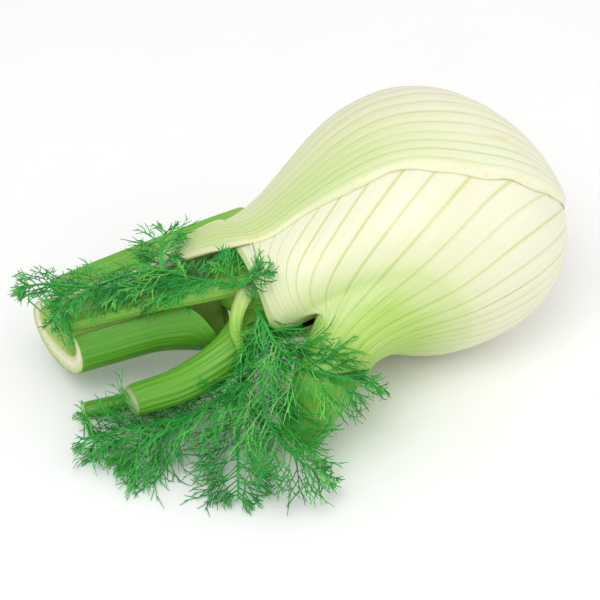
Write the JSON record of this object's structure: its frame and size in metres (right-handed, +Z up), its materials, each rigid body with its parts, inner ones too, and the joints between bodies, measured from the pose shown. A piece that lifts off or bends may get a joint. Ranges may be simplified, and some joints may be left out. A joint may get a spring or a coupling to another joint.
{
  "type": "fennel bulb",
  "caption": "Trimmed fennel bulb lying on its side, with overlapping ribbed leaf bases, cut green stalks and feathery fronds.",
  "frame": {"origin": "middle of the small flat spot under the belly on which the bulb rests", "axes": "+Z up, +X from the cut stalks towards the root end, -Y the side of the front leaf"},
  "size_m": [0.1752, 0.118, 0.0803],
  "materials": {
    "leaf_base": "smooth cream-white leaf base with fine pale green veins, satin",
    "stalk": "ribbed green stalk, satin, pale at the cut",
    "frond": "soft green thread-like leaflets"
  },
  "bodies": {
    "root": {"front_leaf": "leaf_base", "back_leaf": "leaf_base", "rear_leaf": "stalk", "inner_leaves": "stalk", "frond_upper": "frond", "frond_tufts": "frond", "frond_centre": "frond", "frond_lower": "frond", "frond_bottom": "frond"}
  },
  "joints": []
}
